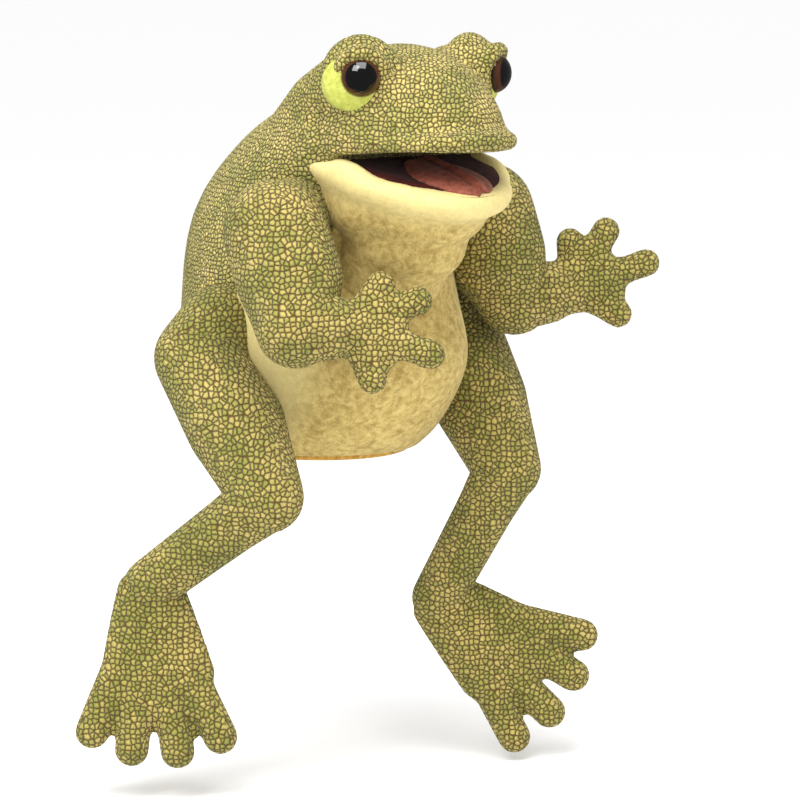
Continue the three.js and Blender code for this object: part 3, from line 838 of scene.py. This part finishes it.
@dataclass
class GreenSkin:
    """The scaled plush of the back, the neck and the upper head, as one sewn skin."""

    form: BodyForm
    voxel: float = 2.4
    wall: float = 2.0
    hem_height: float = 5.0
    height: float = 54.0
    under: float = 46.0
    rear: float = 60.0
    rear_taper: float = 4.0
    snout_short: float = 11.0
    cheek_short: float = 2.5
    mound: tuple[float, float, float] = (20.0, 20.5, 14.5)
    lid: tuple[float, float] = (12.0, 11.6)
    lid_turn: tuple[float, float] = (-50.0, 155.0)
    lip: float = 4.4
    lip_in: float = 6.4

    def skull(self) -> bpy.types.Mesh:
        """Build the upper head, flat on the mouth plane.

        Returns:
            A spare mesh in millimetres.
        """
        head = bmesh.new()
        ball(head, vec(0, 0, 0), 1.0)
        for v in head.verts:
            front = MOUTH_LENGTH - self.snout_short if v.co.y < 0 else self.rear
            taper = self.rear_taper * v.co.y if v.co.y > 0 else 0
            side = MOUTH_WIDTH / 2 - self.cheek_short - taper
            up = self.height if v.co.z > 0 else self.under
            v.co = Vector((v.co.x * side, v.co.y * front, v.co.z * up))
        cut(head, vec(0, 0, 0), vec(0, -0.02, -1))
        bmesh.ops.transform(head, matrix=palate_frame(), verts=head.verts)
        spare = bpy.data.meshes.new("head_form")
        head.to_mesh(spare)
        head.free()
        return spare

    def brow(self, bm: bmesh.types.BMesh, side: Side) -> None:
        """Add the mound behind an eye, the lid over it and the fullness down to the neck.

        Args:
            bm: Mesh under construction.
            side: The frog's side.
        """
        x = side.value
        turn = eye_frame(side).to_3x3().to_4x4()
        ball(bm, eye_centre(side) - eye_aim(side) * MOUND_BACK, self.mound, turn)
        arc, thick = [], []
        low, high = self.lid_turn
        steps = 24
        for i in range(steps + 1):
            a = math.radians(low + (high - low) * i / steps)
            brow = max(0.0, math.sin(a)) ** 1.5
            point = vec(-x * self.lid[0] * math.cos(a), self.lid[1] * math.sin(a), 0.4 + 3.0 * brow)
            arc.append(eye_frame(side) @ point)
            thick.append(2.4 + 1.9 * brow)
        roll(bm, arc, thick)
        chain(bm, [vec(x * 30, -94, 192), vec(x * 27, -66, 178), vec(x * 24, -44, 160)], [18, 20, 22])

    def rolled_lip(self, bm: bmesh.types.BMesh) -> None:
        """Add the rolled edge round the upper jaw, thickest in front."""
        path, radii = [], []
        steps = 32
        for i in range(steps + 1):
            a = math.pi * (0.5 + 1.02 * (i / steps - 0.5))
            path.append(palate_frame() @ vec(-(MOUTH_WIDTH / 2 - self.lip_in) * math.cos(a),
                                             -(MOUTH_LENGTH - self.lip_in) * math.sin(a), self.lip + 0.2))
            radii.append(self.lip * (0.75 + 0.5 * math.sin(math.pi * i / steps) ** 3))
        roll(bm, path, radii)

    def build(self) -> bpy.types.Object:
        """Build the skin.

        Returns:
            The skin object.
        """
        bm = bmesh.new()
        loft(bm, [self.form.ring(s) for s in self.form.along(4)], 56)
        spare = self.skull()
        bm.from_mesh(spare)
        bpy.data.meshes.remove(spare)
        for side in Side:
            self.brow(bm, side)
        ball(bm, vec(0, -56, 156), (47, 30, 38))
        self.rolled_lip(bm)
        skin = make_object(bm, "green_skin")
        unify(skin, self.voxel, 5)
        opened = bmesh.new()
        opened.from_mesh(skin.data)
        cut(opened, vec(0, 0, self.hem_height * MM), vec(0, 0, -1), fill=False)
        opened.to_mesh(skin.data)
        opened.free()
        modifier(skin, "SOLIDIFY", thickness=self.wall * MM, offset=-1.0)
        bake_modifiers(skin)
        dress(skin, Finish.BODY_SCALES)
        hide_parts("back_skin", "head_skin", "back_padding", "head_fill", "finger_pocket")
        blend_neck(skin)
        return skin


def eye_aim(side: Side) -> Vector:
    """Give the direction in which an eye looks."""
    return vec(side.value * math.sin(EYE_TURN), -math.cos(EYE_TURN), 0)


def eye_centre(side: Side) -> Vector:
    """Give the middle of an eye's flat back, near enough."""
    return vec(side.value * EYE_PLACE[0], EYE_PLACE[1], EYE_PLACE[2])


def eye_frame(side: Side) -> Matrix:
    """Give a frame with +Z out of the eye and +Y up."""
    return axis_frame(eye_centre(side), eye_aim(side), vec(0, 0, 1))


@dataclass
class Eyes:
    """Two polished eyes and their lime surrounds."""

    radius: float = 10.0
    depth: float = 9.2
    patch: float = 13.0
    cut: tuple[float, float] = (32.0, 30.0)
    cut_area: float = 500.0
    patch_shift: tuple[float, float] = (5.8, -3.4)
    patch_wall: float = 1.4
    mound: tuple[float, float] = (20.6, 15.1)

    def eye(self, side: Side) -> bpy.types.Object:
        """Build one eye by spinning its outline.

        Args:
            side: The frog's side.

        Returns:
            The eye.
        """
        bm = bmesh.new()
        outline = [vec(0, 0, -2.0), vec(self.radius - 0.6, 0, -2.0), vec(self.radius, 0, -1.2)]
        for i in range(15):
            a = math.radians(90 * i / 14)
            outline.append(vec(self.radius * math.cos(a), 0, self.depth * math.sin(a)))
        verts = [bm.verts.new(p) for p in outline]
        edges = [bm.edges.new(pair) for pair in zip(verts, verts[1:])]
        bmesh.ops.spin(bm, geom=verts + edges, cent=(0, 0, 0), axis=(0, 0, 1), angle=2 * math.pi,
                       steps=48, use_merge=True)
        bmesh.ops.remove_doubles(bm, verts=bm.verts, dist=1e-3)
        bmesh.ops.recalc_face_normals(bm, faces=bm.faces)
        layer = bm.verts.layers.float.new("radius_mm")
        for v in bm.verts:
            v[layer] = math.hypot(v.co.x, v.co.y)
        bmesh.ops.transform(bm, matrix=eye_frame(side) @ Matrix.Translation((0, 0, 0.4)), verts=bm.verts)
        made = make_object(bm, f"{side.word}_eye_dome")
        dress(made, Finish.EYE)
        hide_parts(f"{side.word}_eye")
        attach(made, "head")
        return made

    def surround(self, side: Side) -> bpy.types.Object:
        """Build the lime crescent on the outer and lower side of an eye.

        Args:
            side: The frog's side.

        Returns:
            The patch.
        """
        bm = bmesh.new()
        shift = Vector((side.value * self.patch_shift[0], self.patch_shift[1]))
        bmesh.ops.create_grid(bm, x_segments=72, y_segments=7, size=1.0)
        for v in bm.verts:
            ray = Vector((math.cos(math.pi * v.co.x), math.sin(math.pi * v.co.x)))
            along = shift.dot(ray)
            edge = along + math.sqrt(self.patch ** 2 - shift.length_squared + along ** 2)
            inner = self.radius - 1.5
            reach = inner + (v.co.y + 1) / 2 * max(0.05, edge - inner)
            height = self.mound[1] * math.sqrt(1 - (reach / self.mound[0]) ** 2) - MOUND_BACK
            v.co = vec(reach * ray.x, reach * ray.y, height)
        bmesh.ops.remove_doubles(bm, verts=bm.verts, dist=1e-3)
        bmesh.ops.transform(bm, matrix=eye_frame(side), verts=bm.verts)
        made = make_object(bm, f"{side.word}_eye_surround")
        modifier(made, "SOLIDIFY", thickness=self.patch_wall * MM, offset=0.0)
        bake_modifiers(made)
        dress(made, Finish.LIME)
        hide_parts(f"{side.word}_eye_patch")
        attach(made, "head")
        return made


@dataclass
class Belly:
    """The cream velour panel from the hem up to the throat, and the golden hem binding."""

    form: BodyForm
    wall: float = 2.08
    reach: tuple[float, float] = (0.01, 0.91)
    half_angles: Sequence[float] = (42, 52, 70, 77, 76, 70, 60, 52, 48)
    hem_height: float = 3.2
    hem_fold: tuple[float, float] = (2.0, 3.4)

    def half_angle(self, share: float) -> float:
        """Give the panel's half angle in radians at a share of the body's length."""
        place = share * (len(self.half_angles) - 1)
        i = min(int(place), len(self.half_angles) - 2)
        low, high = self.half_angles[i], self.half_angles[i + 1]
        return math.radians(low + (high - low) * (place - i))

    @staticmethod
    def brushed_rim(point: Vector) -> float:
        """Give how strongly the painted highlight lightens the panel's raised sides at a point in millimetres,
        fading out higher up.
        """
        return smoother(math.hypot(point.x, 0.25 * (point.y + 90)), 40, 60) * smoother(point.z, 120, 60)

    def panel(self, skin: bpy.types.Object) -> bpy.types.Object:
        """Build the panel over the green skin.

        Args:
            skin: The skin that it lies on.

        Returns:
            The panel.
        """
        bm = bmesh.new()
        bmesh.ops.create_grid(bm, x_segments=60, y_segments=64, size=1.0)
        for v in bm.verts:
            share = self.reach[0] + (self.reach[1] - self.reach[0]) * (v.co.y + 1) / 2
            v.co = self.form.point(share, v.co.x * self.half_angle(share), 2.0)
        made = make_object(bm, "belly_velour")
        modifier(made, "SHRINKWRAP", target=skin, wrap_method="NEAREST_SURFACEPOINT",
                 wrap_mode="OUTSIDE_SURFACE", offset=0.8 * MM)
        modifier(made, "SMOOTH", factor=0.5, iterations=4)
        modifier(made, "SOLIDIFY", thickness=self.wall * MM, offset=0.4)
        bake_modifiers(made)
        dress(made, Finish.CREAM)
        # painted highlight along the panel's raised sides, where the rim catches the light
        mark_pale(made, self.brushed_rim)
        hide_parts("belly_panel", "belly_padding")
        blend_neck(made)
        return made

    def hem(self) -> bpy.types.Object:
        """Build the folded binding round the hand opening.

        Returns:
            The binding.
        """
        bm = bmesh.new()
        rings = []
        turns = 72
        half_width, half_depth = (size / 2 + 0.2 for size in self.form.hem)
        for i in range(turns):
            a = 2 * math.pi * i / turns
            here = vec(half_width * math.sin(a), -half_depth * math.cos(a), self.hem_height)
            ahead = vec(half_width * math.cos(a), half_depth * math.sin(a), 0)
            rings.append(axis_frame(here, ahead, vec(0, 0, 1)) @ Matrix.Diagonal((*self.hem_fold, 1, 1)))
        loft(bm, rings, 14, closed=True)
        bmesh.ops.recalc_face_normals(bm, faces=bm.faces)
        made = make_object(bm, "hem_fold")
        dress(made, Finish.HEM)
        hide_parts("hem_binding")
        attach(made, "body")
        return made


@dataclass
class Jaw:
    """The cream lower jaw with its thick lip, and the soft throat under it."""

    depth: float = 27.0
    lip: float = 7.4
    drop: float = math.radians(14)
    chin_and_throat: Sequence[tuple[Sequence[float], Sequence[float]]] = (
        ((0, -18, -22), (36, 38, 18)),
        ((0, -12, -40), (32, 35, 24)),
        ((0, -4, -54), (31, 31, 32)),
    )
    palate_margin: tuple[float, float] = (9.0, 11.0)
    floor_margin: tuple[float, float] = (8.0, 13.0)
    lining_wall: float = 1.2

    def frame_of(self) -> Matrix:
        """Give the jaw's frame at the mouth hinge."""
        return Matrix.Translation(HINGE) @ Matrix.Rotation(self.drop, 4, "X")

    def build(self) -> bpy.types.Object:
        """Build the jaw's skin.

        Returns:
            The jaw.
        """
        form = bmesh.new()
        ball(form, vec(0, 0, -3), (MOUTH_WIDTH / 2 + 0.5, MOUTH_LENGTH - 3, self.depth))
        cut(form, vec(0, 0, -4.6), vec(0, 0, 1))
        for centre, radii in self.chin_and_throat:
            ball(form, Vector(centre), radii)
        for x in (-1, 1):
            ball(form, vec(x * (MOUTH_WIDTH / 2 - 8), -18, -6), (7, 20, 9))
            ball(form, vec(x * 32, -8, -20), (12, 22, 18))
        path, thick = [], []
        steps = 32
        for i in range(steps + 1):
            a = math.pi * i / steps
            out = vec(-(MOUTH_WIDTH / 2 - 7) * math.cos(a), 3 - (MOUTH_LENGTH - 8) * math.sin(a), -self.lip)
            path.append(out)
            thick.append(self.lip * (0.78 + 0.22 * math.sin(a)))
        roll(form, path, thick)
        bmesh.ops.transform(form, matrix=self.frame_of(), verts=form.verts)
        made = make_object(form, "jaw_velour")
        unify(made, 2.2, 26)
        home = self.frame_of().inverted()
        # painted highlight: the top of the jaw and its lip are paler, as they catch the light, fading to the plain
        # pile towards the throat
        mark_pale(made, lambda p: 0.85 * smoother((home @ p).z, -26, -8))
        dress(made, Finish.CREAM)
        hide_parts("jaw_skin", "jaw_fill")
        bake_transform(made)
        return made

    def lining(self, name: str, upper: bool) -> bpy.types.Object:
        """Build one half of the mouth lining.

        Args:
            name: Piece name.
            upper: True for the palate and False for the floor.

        Returns:
            The lining.
        """
        bm = bmesh.new()
        bmesh.ops.create_circle(bm, cap_ends=True, cap_tris=True, segments=72, radius=1.0)
        bmesh.ops.subdivide_edges(bm, edges=bm.edges[:], cuts=7, use_grid_fill=True)
        side, front = self.palate_margin if upper else self.floor_margin
        half_width, length = MOUTH_WIDTH / 2 - side, MOUTH_LENGTH - front
        for v in bm.verts:
            away = math.hypot(v.co.x, v.co.y)
            z = (1.0 + away * 0.3) if upper else (-0.9 - away * 0.3)
            v.co = vec(v.co.x * half_width, v.co.y * length, z)
        cut(bm, vec(0, 1.5, 0), vec(0, 1, 0), fill=False)
        bmesh.ops.transform(bm, matrix=palate_frame() if upper else self.frame_of(), verts=bm.verts)
        across, along = 2 * half_width * MM, length * MM
        made = make_object(bm, name)
        modifier(made, "SOLIDIFY", thickness=self.lining_wall * MM, offset=0.0)
        bake_modifiers(made)
        dress(made, Finish.MOUTH)
        math.pi / 4 * across * along
        return made

    def mouth(self) -> list[bpy.types.Object]:
        """Build the palate, the floor and the tongue.

        Returns:
            The three pieces.
        """
        palate = self.lining("palate_velour", True)
        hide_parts("palate_lining")
        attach(palate, "head")
        floor = self.lining("mouth_floor_velour", False)
        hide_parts("mouth_floor_lining")
        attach(floor, "jaw")
        bm = bmesh.new()
        ball(bm, vec(0, -42, -1.0), (20, 26, 4.8))
        ball(bm, vec(0, -26, -1.0), (14, 14, 4.4))
        cut(bm, vec(0, 0, -2.6), vec(0, 0, -1))
        bmesh.ops.transform(bm, matrix=self.frame_of(), verts=bm.verts)
        tongue = make_object(bm, "tongue_velour")
        unify(tongue, 1.3, 10)
        for v in tongue.data.vertices:
            across = v.co.x / MM
            ridge = 1.6 * math.exp(-((across - 3.5) / 3.0) ** 2)
            groove = 1.2 * math.exp(-(across / 1.5) ** 2)
            v.co.z += (ridge - groove) * MM
        dress(tongue, Finish.TONGUE)
        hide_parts("tongue")
        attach(tongue, "jaw")
        return [palate, floor, tongue]


# ---------------------------------------------------------------- limbs


@dataclass
class Paddle:
    """A flat hand or foot: a fan with four digits, along +Z of its own frame."""

    tips: Sequence[tuple[float, float]]
    length: float
    half_width: float
    thick: float
    digit: float
    root: float
    neck: tuple[float, float]

    def add(self, bm: bmesh.types.BMesh, frame_of: Matrix, mirror: int) -> None:
        """Add the paddle's forms.

        Args:
            bm: Mesh under construction.
            frame_of: Frame at the wrist or ankle.
            mirror: 1, or -1 to swap its sides.
        """
        rings = []
        for i in range(13):
            t = i / 12
            wide = self.neck[0] + (self.half_width - self.neck[0]) * min(1.0, t * 1.25) ** 0.9
            deep = self.neck[1] + (self.thick - self.neck[1]) * t
            close = math.sqrt(max(0.03, 1 - max(0.0, (t - 0.72) / 0.28) ** 2))
            place = Matrix.Translation((0, 0, -4 + t * (self.length + 4)))
            rings.append(frame_of @ place @ Matrix.Diagonal((wide * close ** 0.5, deep * close, 1, 1)))
        loft(bm, rings, 32)
        ball(bm, frame_of @ vec(0, 0, 0), (self.neck[0], self.neck[1], self.neck[1]),
             frame_of.to_3x3().to_4x4())
        for reach, across in self.tips:
            side = mirror * across
            short = 1 - self.digit / math.hypot(side, reach)
            tip = frame_of @ vec(side * short, 0, reach * short)
            outer = (reach, across) in (self.tips[0], self.tips[-1])
            root = self.root * (0.4 if outer else 1.0)
            base = frame_of @ vec(side * root, 0, reach * root)
            chain(bm, [base, base.lerp(tip, 0.6), tip], [self.thick, self.digit * 0.96, self.digit])


HAND = Paddle(tips=((10, 30), (33, 26), (48, -2), (22, -27)), length=27, half_width=17, thick=8.2, digit=7.4,
              root=0.4, neck=(13.0, 11.0))
FOOT = Paddle(tips=((78, -38), (89, -17), (92, 8), (86, 32)), length=60, half_width=30, thick=7.6, digit=8.6,
              root=0.5, neck=(15.0, 10.5))


@dataclass
class Limbs:
    """The stuffed arms and legs of one side."""

    side: Side
    wrist: dict[Side, tuple[float, float, float]] = field(default_factory=lambda: {
        Side.RIGHT: (-51, -122, 76), Side.LEFT: (115, -87, 81.5)})
    palm: dict[Side, tuple[float, float, float]] = field(default_factory=lambda: {
        Side.RIGHT: (-34.4, -135.2, 69.5), Side.LEFT: (128.5, -95.6, 87.7)})
    toes: dict[Side, tuple[float, float, float]] = field(default_factory=lambda: {
        Side.RIGHT: (-121, -58.3, -137.9), Side.LEFT: (92.6, -109.3, -134.1)})

    def at(self, joint: str) -> Vector:
        """Give one of this side's joints in millimetres."""
        return joint_at(f"{self.side.word}_{joint}")

    def finish_limb(self, bm: bmesh.types.BMesh, name: str, nodes: Iterable[str], voxel: float,
                    pinned: Callable[[Vector], float], cap: float) -> bpy.types.Object:
        """Turn a limb's forms into a stuffed skin.

        Args:
            bm: The forms.
            name: Piece name.
            nodes: CAD nodes that it stands for.
            voxel: Remesh size.
            pinned: How firmly each point is sewn.
            cap: Furthest swelling.

        Returns:
            The limb piece.
        """
        made = make_object(bm, f"{self.side.word}_{name}")
        unify(made, voxel, 5)
        if cap:
            stuff(made, cap, pinned)
        dress(made, Finish.LIMB_SCALES)
        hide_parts(*[f"{self.side.word}_{n}" for n in nodes])
        return made

    def arm(self) -> None:
        """Build the upper arm, and the forearm with its hand."""
        x = self.side.value
        shoulder, elbow = self.at("shoulder"), self.at("elbow")
        wrist, palm = Vector(self.wrist[self.side]), Vector(self.palm[self.side])
        root = shoulder + vec(-x * 18, 8, 6)
        bm = bmesh.new()
        middle = shoulder.lerp(elbow, 0.5) + vec(-x * 2.5, 0, 0)
        chain(bm, [root, shoulder, middle, elbow], [20, 26, 26.5, 20])
        upper = self.finish_limb(bm, "upper_arm", ("upper_arm_skin", "upper_arm_fill"), 3.0,
                                 lambda p: 1.0 if (p - root).length < 22 else 0.0, 1.6)
        down = (elbow - shoulder).normalized()
        (shoulder - down * 24) * MM
        (shoulder + down * 4) * MM
        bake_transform(upper)
        bm = bmesh.new()
        chain(bm, [elbow, elbow.lerp(wrist, 0.55), wrist], [18, 16.5, 12.5])
        HAND.add(bm, axis_frame(wrist, palm - wrist, SHOW_SIDE), 1)
        lower = self.finish_limb(bm, "forearm", ("forearm_skin", "forearm_fill", "hand_skin", "hand_fill"),
                                 1.9, lambda p: 1.0, 0)
        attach(lower, f"{self.side.word}_forearm")

    def leg(self) -> None:
        """Build the thigh, the shin and the foot."""
        x = self.side.value
        hip, knee, ankle = self.at("hip"), self.at("knee"), self.at("ankle")
        toes = Vector(self.toes[self.side])
        root = hip + vec(-x * 22, 4, 14)
        bm = bmesh.new()
        middle = hip.lerp(knee, 0.5) + vec(-x * 5, 0, 0)
        chain(bm, [root, hip + vec(-x * 5, 0, 0), middle, knee], [22, 22, 25, 18])
        thigh = self.finish_limb(bm, "thigh", ("thigh_skin", "thigh_fill"), 3.0,
                                 lambda p: 1.0 if (p - root).length < 24 else 0.0, 1.8)
        down = (knee - hip).normalized()
        (hip - down * 26) * MM
        (hip + down * 6) * MM
        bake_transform(thigh)
        bm = bmesh.new()
        chain(bm, [knee, knee.lerp(ankle, 0.3), knee.lerp(ankle, 0.75), ankle], [17, 15, 14, 13.5])
        shin = self.finish_limb(bm, "shin", ("shin_skin", "shin_fill"), 2.4,
                                lambda p: float(min((p - knee).length, (p - ankle).length) < 12), 1.2)
        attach(shin, f"{self.side.word}_shin")
        bm = bmesh.new()
        FOOT.add(bm, axis_frame(ankle, toes - ankle, SHOW_SIDE), -x)
        foot = self.finish_limb(bm, "foot", ("foot_skin", "foot_fill"), 1.9, lambda p: 1.0, 0)
        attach(foot, f"{self.side.word}_foot")


# ---------------------------------------------------------------- inside pieces and studio


def dress_inside() -> None:
    """Give the pieces inside the puppet their finishes."""
    slots = {row["node"]: row["material_slot"] for row in frame["record"]["subparts"]}
    finishes = {finish.slot: finish for finish in reversed(Finish)}
    for name, node in frame["nodes"].items():
        if not node.hide_render:
            node.data.materials.clear()
            node.data.materials.append(finishes[slots[name]].material())


@dataclass(frozen=True)
class Lamp:
    """A soft square lamp, placed from the target towards the camera, to its right and up, in metres."""

    name: str
    back: float
    right: float
    up: float
    size: float
    power: float
    in_gloss: bool = True


@dataclass
class Studio:
    """A plain pale floor, soft lights and the camera."""

    azimuth: float = math.radians(-36)
    elevation: float = math.radians(8)
    distance: float = 1.7
    target: tuple[float, float, float] = (0.0455, -0.0293, 0.0216)
    view_width: float = 0.4216
    sky: float = 0.76
    sky_in_gloss: float = 0.12
    exposure: float = 0.45
    floor_drop: float = 4.0
    lamps: Sequence[Lamp] = (
        Lamp("key", 0.85, -0.6, 1.0, 0.7, 8),
        Lamp("fill", 1.0, 1.0, 0.35, 0.9, 0.5, in_gloss=False),
        Lamp("top", 0.55, 0.0, 1.15, 0.9, 9),
    )

    def build(self) -> None:
        """Build the floor, lights and camera."""
        bm = bmesh.new()
        bmesh.ops.create_grid(bm, x_segments=2, y_segments=2, size=40000)
        bmesh.ops.translate(bm, verts=bm.verts, vec=(0, 0, CAD_BOX[0][2] / MM - self.floor_drop))
        floor = make_object(bm, "studio_floor")
        floor.visible_glossy = False
        paper = Shader("floor_paper", Roughness=0.9, Specular_IOR_Level=0.1)
        paper.bsdf.inputs["Base Color"].default_value = (0.98, 0.98, 0.98, 1)
        floor.data.materials.append(paper.material)
        world = bpy.data.worlds.new("studio")
        world.use_nodes = True
        sky = Wiring(world.node_tree)
        glossy = sky.node("ShaderNodeLightPath", None, None, "Is Glossy Ray")
        background = world.node_tree.nodes["Background"]
        background.inputs["Color"].default_value = (1, 1, 1, 1)
        sky.plug(background.inputs["Strength"], self.sky - glossy * (self.sky - self.sky_in_gloss))
        bpy.context.scene.world = world
        back = vec(math.sin(self.azimuth) * math.cos(self.elevation),
                   -math.cos(self.azimuth) * math.cos(self.elevation), math.sin(self.elevation))
        right = vec(math.cos(self.azimuth), math.sin(self.azimuth), 0)
        target = Vector(self.target)
        for lamp in self.lamps:
            self.light(lamp, target + back * lamp.back + right * lamp.right + vec(0, 0, lamp.up), target)
        camera = bpy.data.objects.new("camera", bpy.data.cameras.new("camera"))
        bpy.context.scene.collection.objects.link(camera)
        camera.location = target + back * self.distance
        camera.rotation_euler = back.to_track_quat("Z", "Y").to_euler()
        camera.data.angle = 2 * math.atan(self.view_width / 2 / self.distance)
        camera.data.clip_end = 200
        bpy.context.scene.camera = camera
        bpy.context.scene.view_settings.view_transform = "Standard"
        bpy.context.scene.view_settings.exposure = self.exposure

    @staticmethod
    def light(lamp: Lamp, place: Vector, target: Vector) -> None:
        """Add a lamp.

        Args:
            lamp: Its size and power.
            place: Where it stands.
            target: Point that it faces.
        """
        data = bpy.data.lights.new(lamp.name, "AREA")
        data.size = lamp.size
        data.energy = lamp.power
        made = bpy.data.objects.new(lamp.name, data)
        made.visible_glossy = lamp.in_gloss
        bpy.context.scene.collection.objects.link(made)
        made.location = place
        made.rotation_euler = (place - target).to_track_quat("Z", "Y").to_euler()


def main() -> None:
    """Build the puppet and its studio."""
    logging.basicConfig(level=logging.INFO, format="%(name)s: %(message)s")
    Studio().build()
    form = BodyForm()
    skin = GreenSkin(form).build()
    eyes = Eyes()
    for side in Side:
        eyes.eye(side)
        eyes.surround(side)
    belly = Belly(form)
    belly.panel(skin)
    belly.hem()
    jaw = Jaw()
    jaw.build()
    jaw.mouth()
    for side in Side:
        limbs = Limbs(side)
        limbs.arm()
        limbs.leg()
    dress_inside()


if __name__ == "__main__":
    main()
